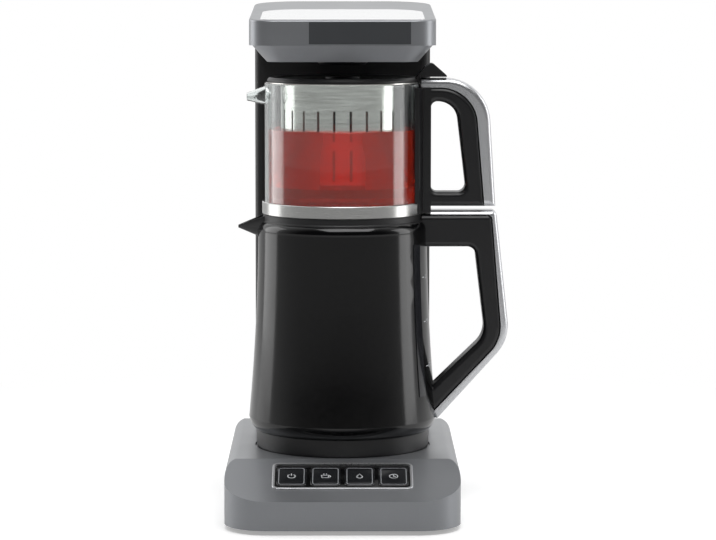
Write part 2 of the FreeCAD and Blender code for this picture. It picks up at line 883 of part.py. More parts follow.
def tower_screw_places():
    x = tower_width / 2 - tower_rear_radius - boss_radius
    heights = (deck_height + tower_screw_low, head_split_height - tower_screw_high)
    return [(sx * x, z) for sx in (-1, 1) for z in heights]


def tower_front_cover():
    half = tower_width
    keep = block((-half, half), (0, tower_split), (0, cutter_reach))
    cover = tower_shell().common(keep)
    posts = []
    for x, z in tower_screw_places():
        length = tower_rear - tower_wall - tower_front - tower_wall / 2
        post = Part.makeCylinder(boss_radius, length, V(x, tower_front + tower_wall / 2, z), V(0, 1, 0))
        hole = Part.makeCylinder(screw_radius, screw_grip + 2 * screw_hole_spare,
                                 V(x, tower_rear - tower_wall, z), V(0, -1, 0))
        posts.append(post.cut(hole))
    return cover.multiFuse(posts).removeSplitter()


def tower_rear_cover():
    half = tower_width
    keep = block((-half, half), (tower_split, cutter_reach), (0, cutter_reach))
    cover = tower_shell().common(keep)
    holes = []
    for x, z in tower_screw_places():
        start = V(x, tower_rear + 1, z)
        holes.append(Part.makeCylinder(screw_radius, 2 * tower_wall + 1, start, V(0, -1, 0)))
        holes.append(Part.makeCylinder(screw_head_radius, 1 + tower_wall / 2, start, V(0, -1, 0)))
    return cover.cut(group(holes))


def tower_screws():
    solids = []
    for x, z in tower_screw_places():
        one = screw(tower_wall / 2 + screw_grip, head_height=tower_screw_head_height)
        one.rotate(V(0, 0, 0), V(1, 0, 0), 90)
        solids.append(at(one, x, tower_rear - tower_wall / 2 + tower_screw_head_height, z))
    return group(solids)


# Head
def head_plan(inset=0.0):
    return plan(head_width, head_front, head_rear, head_front_radius, head_rear_radius, inset)


def under_head_top(inset):
    """The space below the head's sloping top, moved down by inset."""
    space = block((-cutter_reach, cutter_reach), (-cutter_reach, cutter_reach), (-cutter_reach, -inset))
    return on_head_top(space)


def top_plate_outline():
    half = head_width / 2 - top_plate_margin
    low = top_plate_front_margin
    high = low + top_plate_length
    front = top_plate_front_radius
    rear = top_plate_rear_radius
    return rounded_polygon([(-half, low, front), (half, low, front), (half, high, rear),
                            (-half, high, rear)], "XY")


def head_upper_housing():
    high = head_top_height + head_front
    outer = prism(head_plan(), head_split_height, high).common(under_head_top(0.0))
    slope = math.tan(math.radians(head_top_angle))

    def along_top(e):
        return all(abs(v.Z - head_top_height - (v.Y + head_front) * slope) < 1e-3 for v in e.Vertexes)

    outer = smooth_edges(outer, head_edge_radius, along_top)
    inner = prism(head_plan(head_wall), head_split_height - 1, high).common(under_head_top(head_wall))
    shell = outer.cut(inner)
    recess = on_head_top(prism(top_plate_outline(), -top_plate_thickness + top_plate_proud, 5))
    panel = block((-front_panel_left, front_panel_right),
                  (-head_front - 1, -head_front + front_panel_thickness - front_panel_proud),
                  (head_split_height + front_panel_margin, head_top_height - front_panel_margin))
    return shell.cut(group([recess, panel])).removeSplitter()


def head_top_plate():
    plate = prism(top_plate_outline(), -top_plate_thickness + top_plate_proud, top_plate_proud)
    return on_head_top(plate)


def head_front_panel():
    low = -head_front - front_panel_proud
    return block((-front_panel_left, front_panel_right), (low, low + front_panel_thickness),
                 (head_split_height + front_panel_margin, head_top_height - front_panel_margin))


def lower_form(inset):
    """The lower housing's tapering form in front of the tower, drawn in by inset."""
    rear = head_rear + head_rear_radius
    wide = plan(head_width, head_front, rear, head_front_radius, head_front_radius, head_wall + inset)
    narrow = plan(head_width - 2 * lower_taper, head_front - lower_taper, rear - lower_taper,
                  lower_front_radius, lower_front_radius, head_wall + inset)
    top_wire = at(wide, z=head_split_height).OuterWire
    low_wire = at(narrow, z=head_bottom_height + inset).OuterWire
    form = Part.makeLoft([low_wire, top_wire], True, True)
    ahead = block((-head_width, head_width), (-head_width, tower_front - inset), (0, head_split_height))
    return form.common(ahead)


def head_lower_housing():
    body = lower_form(0.0).cut(lower_form(head_wall))
    high = head_split_height + tongue_height
    outline = prism(head_plan(head_wall), head_split_height, high)
    hollow = prism(head_plan(2 * head_wall), head_split_height, high)
    ahead = block((-head_width, head_width), (-head_width, tower_front), (0, high))
    body = body.fuse(outline.cut(hollow).common(ahead))
    return body.cut(disc(nozzle_radius + seal_thickness, 0, 500)).removeSplitter()


def nozzle_top():
    return head_split_height + 2.0


def shower_nozzle():
    low = head_bottom_height - nozzle_drop
    floor = head_bottom_height + head_wall
    top = nozzle_top()
    flange = nozzle_radius + nozzle_flange
    plate = low + nozzle_wall
    body = turned([(0, low), (nozzle_radius - nozzle_edge, low), (nozzle_radius, low + nozzle_edge),
                   (nozzle_radius, floor), (flange, floor), (flange, floor + nozzle_flange_thickness),
                   (nozzle_cone_radius, floor + nozzle_cone_height), (hose_radius, floor + nozzle_spigot),
                   (hose_radius, top), (hose_bore, top), (hose_bore, floor),
                   (nozzle_radius - nozzle_wall, plate),
                   (0, plate)])
    holes = []
    for i in range(nozzle_holes):
        angle = 2 * math.pi * i / nozzle_holes
        x = nozzle_hole_circle * math.cos(angle)
        y = nozzle_hole_circle * math.sin(angle)
        holes.append(disc(nozzle_hole_radius, low - 1, floor, x, y))
    return body.cut(group(holes))


def nozzle_seal():
    low = head_bottom_height - seal_drop
    return ring(nozzle_radius + seal_thickness, nozzle_radius, low, head_bottom_height + head_wall)


# Kettle
def kettle_outline(inset):
    """The kettle's wall line from its shoulder down to its base, as points and arc middles."""
    top_radius = collar_radius + collar_step
    points = [(top_radius - inset, collar_bottom),
              (kettle_top_radius - inset, kettle_shoulder_height),
              (kettle_bottom_radius - inset, kettle_bulge_height),
              (kettle_base_radius - inset, kettle_base_height)]
    shoulder = ((top_radius + kettle_top_radius) / 2 + shoulder_bow[0] - inset,
                (collar_bottom + kettle_shoulder_height) / 2 + shoulder_bow[1])
    flank = (kettle_middle_radius - inset, kettle_middle_height)
    heel = ((kettle_bottom_radius + kettle_base_radius) / 2 + heel_bow[0] - inset,
            (kettle_bulge_height + kettle_base_height) / 2 + heel_bow[1])
    return points, [(0, shoulder), (1, flank), (2, heel)]


def kettle_form(inset):
    points, arcs = kettle_outline(inset)
    return turned(points + [(0, kettle_base_height), (0, collar_bottom)], arcs)


def window_cutter(extra=0.0):
    half = window_width / 2 + extra
    box = block((kettle_top_radius / 2, 2 * kettle_bottom_radius), (-half, half), (window_bottom, window_top))
    box.rotate(V(0, 0, 0), V(0, 0, 1), window_angle)
    return box


def kettle_body():
    shell = kettle_form(0.0).cut(kettle_form(kettle_wall))
    half = spout_half_width - spout_way_margin
    mouth = block((-kettle_bottom_radius, -kettle_top_radius / 2), (-half, half),
                  (spout_root_height + spout_way_margin, collar_top))
    return shell.cut(group([window_cutter(), mouth])).removeSplitter()


def level_window():
    strip = kettle_form(-window_proud).cut(kettle_form(kettle_wall))
    strip = strip.common(window_cutter())
    return strip


def spout_section(x, half_width, low, high):
    """A rounded V across the spout at one distance from the axis."""
    flank = low + (high - low) * 0.42
    points = [V(x, -half_width, high), V(x, -half_width * 0.8, flank), V(x, 0, low),
              V(x, half_width * 0.8, flank), V(x, half_width, high)]
    curve = Part.BSplineCurve()
    curve.interpolate(points)
    top = Part.LineSegment(points[-1], points[0]).toShape()
    return Part.Wire([curve.toShape(), top])


def kettle_collar():
    """The ring that closes the wall's top and carries the mouth, with the pouring beak."""
    inner = collar_radius - collar_thickness
    skirt = inner - collar_step
    step = collar_radius + collar_step
    land = collar_top - collar_thickness
    body = turned([(skirt, kettle_shoulder_height - collar_skirt),
                   (skirt + collar_thickness, kettle_shoulder_height - collar_skirt),
                   (skirt + collar_thickness, collar_bottom), (step, collar_bottom),
                   (step, collar_bottom + collar_step), (collar_radius, collar_bottom + 2 * collar_step),
                   (collar_radius, collar_top), (mouth_radius, collar_top), (mouth_radius, land),
                   (mouth_radius + collar_thickness, land), (skirt, land - collar_step)])
    root = -kettle_top_radius + spout_root_inside
    tip = -spout_reach
    wall = spout_wall
    outer = Part.makeLoft([spout_section(root, spout_half_width, spout_root_height, collar_top),
                           spout_section(tip, spout_tip_half_width, spout_tip_height - spout_tip_depth,
                                         spout_tip_height)], True, True)
    channel = Part.makeLoft([spout_section(root - 0.1, spout_half_width - wall, spout_root_height + wall,
                                           collar_top - wall),
                             spout_section(tip - 1.0, spout_tip_half_width / 2,
                                           spout_tip_height - spout_tip_depth / 2, collar_top)], True, True)
    beak = outer.cut(channel).cut(kettle_form(0.0)).cut(disc(collar_radius - 0.1, 0, 500))
    half = spout_half_width - spout_way_margin
    way_out = block((-kettle_top_radius, -mouth_radius), (-half, half),
                    (spout_root_height + spout_way_margin, land - collar_step))
    return body.cut(way_out).fuse(beak).removeSplitter()


def kettle_foot_ring():
    top = kettle_base_height
    low = seat_height + rest_gap
    inner = foot_ring_radius - foot_ring_wall
    web = socket_radius + connector_wall
    body = turned([(foot_ring_radius - foot_ring_chamfer, low), (foot_ring_radius, low + foot_ring_chamfer),
                   (kettle_base_radius, top), (web, top), (web, top - foot_web), (inner, top - foot_web),
                   (inner, low)])
    return body.cut(disc(valve_radius, 0, 2 * top, 0, nipple_distance))


def heating_plate():
    plate = disc(2 * kettle_bottom_radius, plate_bottom, plate_bottom + plate_thickness)
    hole = disc(plate_hole_radius, 0, 2 * plate_bottom, 0, nipple_distance)
    return plate.common(kettle_form(kettle_wall)).cut(hole)


def heater_element():
    """The heating rod: a loop under the plate, open at the rear, clear of the water valve."""
    loop = Part.makeTorus(element_loop_radius, element_radius, V(0, 0, plate_bottom - element_radius))
    half = element_gap / 2
    gap = block((-half, half), (0, 2 * element_loop_radius), (0, plate_bottom))
    return loop.cut(gap)


def kettle_connector():
    low = deck_height + socket_height + slide_gap
    top = kettle_base_height
    outer = socket_radius + connector_wall
    skirt = socket_radius + connector_skirt
    bore = pin_radius + 2 * slide_gap
    roof = top + socket_flange_thickness
    return turned([(bore, low), (skirt, low), (skirt, top - foot_web), (outer, top - foot_web), (outer, roof),
                   (0, roof), (0, top), (bore, top)])


def valve_bore():
    return valve_radius - valve_wall


def valve_housing():
    """The socket in the kettle's floor that the water nipple enters, with the plunger's seat above."""
    low = seat_height + valve_clearance
    throat_top = low + valve_throat_height
    top = plate_bottom
    bore = valve_bore()
    body = turned([(valve_throat, low), (valve_radius - 1, low), (valve_radius, low + 1), (valve_radius, top),
                   (bore, top), (bore, throat_top), (valve_throat, throat_top)])
    return at(body, 0, nipple_distance)


def plunger_height():
    return seat_height + kettle_lift


def valve_plunger():
    low = plunger_height()
    top = plate_bottom + plate_thickness + plunger_stem_proud
    radius = valve_bore() - slide_gap
    body = turned([(0, low), (radius, low), (radius, low + plunger_disc),
                   (plunger_stem_radius, low + plunger_disc),
                   (plunger_stem_radius, top), (0, top)])
    return at(body, 0, nipple_distance)


def valve_spring():
    """The compression spring that closes the valve, between the plunger and the heating plate."""
    low = plunger_height() + plunger_disc + slide_gap + spring_wire_radius
    high = plate_bottom - slide_gap - spring_wire_radius
    pitch = (high - low) / spring_turns
    path = Part.makeHelix(pitch, high - low, spring_coil_radius)
    start = path.Edges[0].valueAt(path.Edges[0].FirstParameter)
    way = path.Edges[0].tangentAt(path.Edges[0].FirstParameter)
    section = Part.Wire(Part.makeCircle(spring_wire_radius, start, way))
    coil = Part.Wire(path.Edges).makePipeShell([section], True, True)
    return at(coil, 0, nipple_distance, low)


def kettle_grip_outline():
    """Outer line of the kettle's grip, without the opening."""
    return rounded_polygon([(grip_root, kettle_arm_top, 0), (kettle_grip_outer_top, kettle_arm_top, 4),
                            (kettle_grip_outer_x, kettle_grip_outer_z, 30),
                            (kettle_tip_x, kettle_tip_bottom, 0),
                            (grip_root, kettle_tip_bottom, 0)])


def kettle_grip_opening():
    return rounded_polygon([(grip_root - 5, kettle_arm_bottom, 0),
                            (kettle_grip_inner_top, kettle_arm_bottom, 7),
                            (kettle_grip_inner_x, kettle_grip_inner_z, 20), (kettle_tip_x, kettle_tip_top, 0),
                            (grip_root - 5, kettle_tip_top, 0)])


def kettle_handle():
    solid = slab(kettle_grip_outline(), kettle_grip_width)
    solid = solid.cut(slab(kettle_grip_opening(), kettle_grip_width + 10))
    front = kettle_grip_width / 2

    def along(e):
        box = e.BoundBox
        return abs(abs(box.YMin) - front) < 1e-3 and box.YLength < 1e-3 and box.XMax > grip_root + 1.0

    solid = smooth_edges(solid, grip_edge_radius, along)
    return solid.cut(kettle_form(0.0).fuse(disc(collar_radius + 0.8, collar_bottom,
                                                collar_top + 5))).removeSplitter()


def cover_blank(outline, width):
    """A handle's cover before the grip is cut out of it, with its outer edges well rounded."""
    solid = slab(outline, width)

    def along(e):
        box = e.BoundBox
        return abs(abs(box.YMin) - width / 2) < 1e-3 and box.YLength < 1e-3

    return smooth_edges(solid, cover_edge_radius, along)


def kettle_handle_cover():
    t = kettle_cover_thickness
    inside = kettle_cover_start - 2 * cover_edge_radius
    outer = rounded_polygon([(inside, kettle_arm_top + kettle_cover_top, 0),
                             (kettle_grip_outer_top + kettle_cover_top, kettle_arm_top + kettle_cover_top, 4),
                             (kettle_grip_outer_x + t, kettle_grip_outer_z, 34),
                             (kettle_tip_x + t * 0.72, kettle_tip_bottom - t * 0.72, 0),
                             (inside, kettle_tip_bottom, 0)])
    blank = cover_blank(outer, kettle_grip_width - 2 * cover_side_step)
    inner = block((-kettle_cover_start, kettle_cover_start), (-kettle_grip_width, kettle_grip_width),
                  (kettle_tip_bottom + kettle_cover_foot, 2 * kettle_arm_top))
    return blank.cut(slab(kettle_grip_outline(), 2 * kettle_grip_width)).cut(kettle_form(0.0).fuse(inner))


# Teapot
def teapot_band():
    low = teapot_seat
    high = low + band_height
    return turned([(band_opening, low), (band_radius - band_edge, low), (band_radius, low + band_edge),
                   (band_radius, high - band_edge), (band_radius - band_edge, high), (glass_radius, high),
                   (glass_radius, low + band_floor), (band_opening, low + band_floor)])


def glass_form(inset):
    """The glass's round form drawn in by inset, its foot rounded."""
    r = glass_radius - inset
    low = glass_bottom + (glass_floor if inset else 0.0)
    curve = glass_bottom_radius - inset
    k = curve * (1 - math.sqrt(0.5))
    return turned([(0, low), (r - curve, low), (r, low + curve), (r, glass_top), (0, glass_top)],
                  [(1, (r - k, low + k))])


def rim_rounding():
    """What is taken off the glass's rim to round it on both sides."""
    rim = glass_rim_radius
    k = rim * (1 - math.sqrt(0.5))
    r = glass_radius
    outside = turned([(r, glass_top - rim), (r + 1, glass_top - rim), (r + 1, glass_top + 1),
                      (r - rim, glass_top + 1), (r - rim, glass_top)], [(4, (r - k, glass_top - k))])
    r = glass_radius - glass_wall
    inside = turned([(r, glass_top - rim), (r - 1, glass_top - rim), (r - 1, glass_top + 1),
                     (r + rim, glass_top + 1), (r + rim, glass_top)], [(4, (r + k, glass_top - k))])
    return outside, inside


def lip_section(x, half_width, middle, half_height):
    """An oval across the glass spout at one distance from the axis."""
    points = [V(x, -half_width, middle), V(x, 0, middle - half_height), V(x, half_width, middle),
              V(x, 0, middle + half_height)]
    curve = Part.BSplineCurve()
    curve.interpolate(points, True)
    return Part.Wire([curve.toShape()])


def lip_form(inset):
    """The glass spout's tapering form, drawn in by inset."""
    root = -glass_radius + glass_spout_inside - inset / 4
    tip = -glass_spout_reach - inset / 4
    middle = glass_spout_height - glass_spout_rise / 2
    return Part.makeLoft([lip_section(root, glass_spout_root - inset, middle + glass_spout_rise,
                                      glass_spout_root_half_height - inset),
                          lip_section(tip, glass_spout_tip - inset, middle,
                                      glass_spout_tip_half_height - inset * 0.75)], True, True)


def teapot_glass():
    hollow = glass_form(glass_wall).multiFuse([lip_form(glass_spout_wall)])
    body = glass_form(0.0).fuse(lip_form(0.0)).cut(hollow)
    return body.cut(group(rim_rounding())).removeSplitter()


def infuser_basket():
    r = infuser_radius
    t = infuser_wall
    edge = infuser_edge
    floor = infuser_bottom
    top = glass_top + t
    body = turned([(0, floor), (r - edge, floor), (r, floor + edge), (r, glass_top),
                   (infuser_flange_radius, glass_top), (infuser_flange_radius, top), (r - t, top),
                   (r - t, floor + edge + t * 0.4), (r - edge - t * 0.4, floor + t), (0, floor + t)])
    slots = []
    for row in range(infuser_slot_rows):
        low = infuser_bottom + infuser_slot_start + row * infuser_slot_pitch
        for i in range(infuser_slots):
            slot = block((r - 4 * t, r + 4 * t), (-infuser_slot_width / 2, infuser_slot_width / 2),
                         (low, low + infuser_slot_height))
            slot.rotate(V(0, 0, 0), V(0, 0, 1), (i + 0.5) * 360.0 / infuser_slots)
            slots.append(slot)
    return body.cut(group(slots))


def teapot_lid():
    r = lid_radius
    plug = infuser_radius - infuser_wall - slide_gap
    low = lid_bottom
    field = lid_top - lid_sunk
    hole_rim = lid_hole_radius + lid_hole_rim
    body = turned([(lid_hole_radius, low), (plug - lid_plug_wall, low),
                   (plug - lid_plug_wall, low - lid_plug_depth),
                   (plug, low - lid_plug_depth), (plug, low), (r, low), (r, low + lid_edge_height),
                   (r - lid_hole_rim, lid_top), (r - lid_rim_width, lid_top),
                   (r - lid_rim_width - lid_slope_width, field), (hole_rim, field),
                   (hole_rim, lid_top), (lid_hole_radius, lid_top)])
    tab_low = teapot_arm_top + teapot_cover_top + tab_gap
    fin = rounded_polygon([(r - lid_rim_width, low, 0), (r, low, 0), (r + lid_sunk, tab_low, 0),
                           (tab_end_x, tab_low, 0.5), (tab_end_x, tab_low + tab_gap, 1.0),
                           (tab_peak_x, tab_peak_height, 3.0),
                           (tab_peak_x - tab_shoulder, tab_peak_height - 3.0, 3.0),
                           (r - lid_sunk, lid_top, 2.0), (r - lid_rim_width, lid_top, 0)])
    return body.fuse(slab(fin, tab_width)).removeSplitter()


def strap():
    """The curved plate that joins the teapot's handle to its glass and steel band."""
    outer = disc(glass_radius + strap_thickness, strap_bottom, teapot_arm_top)
    keep = block((0, 2 * glass_radius), (-strap_half_width, strap_half_width), (0, glass_top))
    bar = block((glass_radius, teapot_bar_x), (-teapot_grip_width / 2, teapot_grip_width / 2),
                (strap_bottom, teapot_arm_top))
    return outer.common(keep).fuse(bar)


def teapot_grip_outline():
    return rounded_polygon([(glass_radius - 4, teapot_grip_bottom, 0),
                            (teapot_grip_outer_bottom, teapot_grip_bottom, 0),
                            (teapot_grip_outer_top, teapot_arm_top, 30),
                            (glass_radius - 4, teapot_arm_top, 0)])


def teapot_grip_opening():
    return rounded_polygon([(teapot_bar_x, teapot_opening_bottom, 5),
                            (teapot_grip_inner_bottom, teapot_opening_bottom, 6),
                            (teapot_grip_inner_top, teapot_arm_bottom, 16),
                            (teapot_bar_x, teapot_arm_bottom, 5)])


def teapot_handle():
    solid = slab(teapot_grip_outline(), teapot_grip_width)
    solid = solid.cut(slab(teapot_grip_opening(), teapot_grip_width + 10))
    front = teapot_grip_width / 2

    def along(e):
        box = e.BoundBox
        flat = abs(abs(box.YMin) - front) < 1e-3 and box.YLength < 1e-3
        return flat and box.XMax > teapot_bar_x - 1e-3

    solid = smooth_edges(solid, grip_edge_radius, along)
    solid = solid.fuse(strap())
    pot = disc(glass_radius, 0, 500).fuse(disc(band_radius, 0, teapot_seat + band_height))
    return solid.cut(pot).removeSplitter()


def teapot_handle_cover():
    inside = glass_radius - 2 * cover_edge_radius
    high = teapot_arm_top + teapot_cover_top
    low = teapot_grip_bottom
    outer = rounded_polygon([(inside, low, 0), (teapot_grip_outer_bottom + teapot_cover_side_bottom, low, 0),
                             (teapot_grip_outer_top + teapot_cover_side_top, high, 36), (inside, high, 0)])
    blank = cover_blank(outer, teapot_grip_width - 2 * cover_side_step)
    inner = block((-glass_radius, glass_radius + cover_start_gap), (-teapot_grip_width, teapot_grip_width),
                  (0, 2 * high))
    return blank.cut(slab(teapot_grip_outline(), 2 * teapot_grip_width)).cut(inner)


def build():
    nodes = {
        "base_cover": base_cover().fuse(board_posts()).removeSplitter(),
        "base_tray": base_tray(),
        "rubber_feet": rubber_feet(),
        "base_screws": base_screws(),
        "cord_gland": cord_gland(),
        "panel_frame": panel_frame(),
        "button_panel": button_panel(),
        "control_board": control_board(),
        "button_switches": button_switches(),
        "power_board": power_board(),
        "board_parts": board_parts(),
        "kettle_socket": kettle_socket(),
        "socket_contacts": socket_contacts(),
        "water_nipple": water_nipple(),
        "nipple_seal": nipple_seal(),
        "pump_body": pump_body(),
        "pump_impeller": pump_impeller(),
        "pump_motor": pump_motor(),
        "suction_hose": suction_hose(),
        "riser_tube": riser_tube(),
        "tower_front_cover": tower_front_cover(),
        "tower_rear_cover": tower_rear_cover(),
        "tower_screws": tower_screws(),
        "head_upper_housing": head_upper_housing(),
        "head_lower_housing": head_lower_housing(),
        "head_top_plate": head_top_plate(),
        "head_front_panel": head_front_panel(),
        "shower_nozzle": shower_nozzle(),
        "nozzle_seal": nozzle_seal(),
        "kettle_body": kettle_body(),
        "level_window": level_window(),
        "kettle_collar": kettle_collar(),
        "kettle_foot_ring": kettle_foot_ring(),
        "heating_plate": heating_plate(),
        "heater_element": heater_element(),
        "kettle_connector": kettle_connector(),
        "valve_housing": valve_housing(),
        "valve_plunger": valve_plunger(),
        "valve_spring": valve_spring(),
        "kettle_handle": kettle_handle(),
        "kettle_handle_cover": kettle_handle_cover(),
        "teapot_band": teapot_band(),
        "teapot_glass": teapot_glass(),
        "infuser_basket": infuser_basket(),
        "teapot_lid": teapot_lid(),
        "teapot_handle": teapot_handle(),
        "teapot_handle_cover": teapot_handle_cover(),
    }
    for i, place in enumerate(("left", "middle_left", "middle_right", "right")):
        nodes["button_" + place] = button(i)
    return nodes


def footprint_centre(nodes):
    box = Part.makeCompound(list(nodes.values())).optimalBoundingBox(False)
    return V((box.XMin + box.XMax) / 2, (box.YMin + box.YMax) / 2, 0)


def main():
    os.makedirs("parts", exist_ok=True)
    nodes = build()
    centre = footprint_centre(nodes)
    for name, shape in nodes.items():
        shape.translate(centre * -1)
        shape.exportStep("parts/" + name + ".step")
        solids = len(shape.Solids)
        print(name, "solids", solids, "valid", shape.isValid(), "volume", round(shape.Volume, 1))
    print("moved by", round(-centre.x, 3), round(-centre.y, 3))
    return nodes, centre


main()
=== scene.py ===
"""Looks of a tea maker: a glass teapot on a gloss black kettle, between a grey base and a brewing head."""
import math

import bpy
from mathutils import Matrix, Vector
from mathutils.bvhtree import BVHTree


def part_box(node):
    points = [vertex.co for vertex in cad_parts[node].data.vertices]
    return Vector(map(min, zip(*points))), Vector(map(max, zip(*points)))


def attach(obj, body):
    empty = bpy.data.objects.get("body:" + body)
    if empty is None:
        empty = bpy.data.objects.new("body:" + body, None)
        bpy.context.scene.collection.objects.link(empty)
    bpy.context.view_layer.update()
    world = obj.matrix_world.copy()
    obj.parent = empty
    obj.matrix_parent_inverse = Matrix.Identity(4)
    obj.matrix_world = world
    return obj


MM = 0.001

# Camera and framing
camera_distance = 2.3
camera_height = 0.430
camera_tilt = math.radians(84.025)
camera_lens = 144.55
camera_shift = 0.0216

# Light of the room, from the wall behind the camera to the wall behind the object
room_front = 0.04
room_back = 0.95
room_turn = 0.55                    # how far round the change from one to the other reaches

# Lamps: place, aim, size in metres, and watts
lamps = {
    "top_softbox": ((0.1, -0.55, 1.5), (0.0, 0.0, 0.2), (1.3, 1.0), 15.0),
    "left_softbox": ((-1.25, 0.55, 0.6), (0.0, 0.0, 0.25), (0.8, 1.2), 5.0),
    "right_softbox": ((1.35, 0.05, 0.6), (0.0, 0.0, 0.25), (0.55, 1.2), 5.0),
}

# Floor
floor_reach = 60.0
floor_lift = 0.36                   # what the camera sees added, so that the unshadowed floor is white
floor_fade = (0.22, 0.75)           # from the shadowed floor to the plain white one

# Tea in the pot
tea_bottom = 239.6 * MM
tea_level = 302.0 * MM
tea_radius = 59.5 * MM
tea_heel = 2.5 * MM
tea_core_radius = 50.0 * MM         # just outside the infuser, which stands in the tea
tea_core_bottom = 257.6 * MM
meniscus_height = 1.3 * MM
tea_segments = 128

# Marks beside the kettle's window
marks_azimuth = math.radians(-20.0)
mark_heights = (115.0 * MM, 150.5 * MM, 186.0 * MM)
mark_size = (4.2 * MM, 0.7 * MM, 0.12 * MM)
number_size = 4.6 * MM
mark_lift = 0.06 * MM
mark_bends = 6                      # points along a mark, so that it follows the wall
number_gap = 1.2 * MM
number_bend_radius = 0.069          # the wall's radius about the marks
outside = 0.15                      # a distance from the axis that is clear of the kettle

# Signs on the buttons
outline_size = (19.6 * MM, 26.2 * MM)
outline_corner = 2.2 * MM
outline_width = 0.3 * MM
sign_stroke = 0.42 * MM
sign_flatness = 0.25

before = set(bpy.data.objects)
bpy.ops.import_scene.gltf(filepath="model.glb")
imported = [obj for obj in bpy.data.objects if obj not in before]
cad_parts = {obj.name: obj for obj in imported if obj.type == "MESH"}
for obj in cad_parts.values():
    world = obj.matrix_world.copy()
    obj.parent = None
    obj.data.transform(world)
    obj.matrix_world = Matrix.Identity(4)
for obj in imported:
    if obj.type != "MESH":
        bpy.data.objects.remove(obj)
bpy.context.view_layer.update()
socket_low, socket_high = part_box("kettle_socket")
axis = (socket_low + socket_high) / 2
axis.z = 0.0


def linear(hex_colour):
    """The linear colour that a shader socket takes for an sRGB hex colour."""
    parts = [int(hex_colour[i:i + 2], 16) / 255 for i in (1, 3, 5)]
    return tuple(p / 12.92 if p <= 0.04045 else ((p + 0.055) / 1.055) ** 2.4 for p in parts) + (1.0,)


def add_node(tree, kind, settings=None, inputs=None):
    """Adds a node, makes its settings, and sets or links its inputs."""
    node = tree.nodes.new(kind)
    for name, value in (settings or {}).items():
        setattr(node, name, value)
    for socket, value in (inputs or {}).items():
        if isinstance(value, bpy.types.NodeSocket):
            tree.links.new(value, node.inputs[socket])
        else:
            node.inputs[socket].default_value = value
    return node


def start_material(name):
    material = bpy.data.materials.new(name)
    material.use_nodes = True
    material.node_tree.nodes.clear()
    place = add_node(material.node_tree, "ShaderNodeTexCoord").outputs["Object"]
    return material, material.node_tree, place


def finish_material(tree, inputs):
    shader = add_node(tree, "ShaderNodeBsdfPrincipled", inputs=inputs)
    add_node(tree, "ShaderNodeOutputMaterial", inputs={"Surface": shader.outputs["BSDF"]})


def per(size_mm):
    """The scale of a pattern whose grains are size_mm across."""
    return 1.0 / (size_mm * MM)


def moulded(name, colour, dark, roughness, grain_mm, depth, coat=0.0, metallic=0.0):
    """Plastic or paint with a fine grain: its tone, gloss and height all follow the grain."""
    material, tree, place = start_material(name)
    grain = add_node(tree, "ShaderNodeTexNoise", inputs={
        "Vector": place, "Scale": per(grain_mm), "Detail": 3.0, "Roughness": 0.55})
    cloud = add_node(tree, "ShaderNodeTexNoise", inputs={"Vector": place, "Scale": per(45.0), "Detail": 2.0})
    mix = add_node(tree, "ShaderNodeMath", {"operation": "MULTIPLY_ADD"}, {
        0: cloud.outputs["Fac"], 1: 0.5, 2: 0.0})
    both = add_node(tree, "ShaderNodeMath", {"operation": "MULTIPLY_ADD", "use_clamp": True}, {
        0: grain.outputs["Fac"], 1: 0.5, 2: mix.outputs[0]})
    tone = add_node(tree, "ShaderNodeMix", {"data_type": "RGBA"}, {
        "Factor": both.outputs[0], 6: linear(dark), 7: linear(colour)})
    gloss = add_node(tree, "ShaderNodeMapRange", inputs={
        "Value": both.outputs[0], "From Min": 0.3, "From Max": 0.7,
        "To Min": roughness[0], "To Max": roughness[1]})
    bump = add_node(tree, "ShaderNodeBump", inputs={
        "Strength": 0.6, "Distance": depth * MM, "Height": grain.outputs["Fac"]})
    finish_material(tree, {
        "Base Color": tone.outputs[2], "Roughness": gloss.outputs["Result"], "Metallic": metallic,
        "Coat Weight": coat, "Coat Roughness": 0.06, "IOR": 1.5, "Normal": bump.outputs["Normal"]})
    return material


def brushed(name, colour, dark, roughness, line_mm, stretch, depth):
    """Metal brushed or drawn along one direction: long thin streaks in tone, gloss and height."""
    material, tree, place = start_material(name)
    along = add_node(tree, "ShaderNodeMapping", inputs={"Vector": place, "Scale": stretch})
    lines = add_node(tree, "ShaderNodeTexNoise", inputs={
        "Vector": along.outputs["Vector"], "Scale": per(line_mm), "Detail": 4.0, "Roughness": 0.6})
    tone = add_node(tree, "ShaderNodeMix", {"data_type": "RGBA"}, {
        "Factor": lines.outputs["Fac"], 6: linear(dark), 7: linear(colour)})
    gloss = add_node(tree, "ShaderNodeMapRange", inputs={
        "Value": lines.outputs["Fac"], "From Min": 0.3, "From Max": 0.7,
        "To Min": roughness[0], "To Max": roughness[1]})
    bump = add_node(tree, "ShaderNodeBump", inputs={
        "Strength": 0.5, "Distance": depth * MM, "Height": lines.outputs["Fac"]})
    finish_material(tree, {
        "Base Color": tone.outputs[2], "Roughness": gloss.outputs["Result"], "Metallic": 1.0,
        "Normal": bump.outputs["Normal"]})
    return material


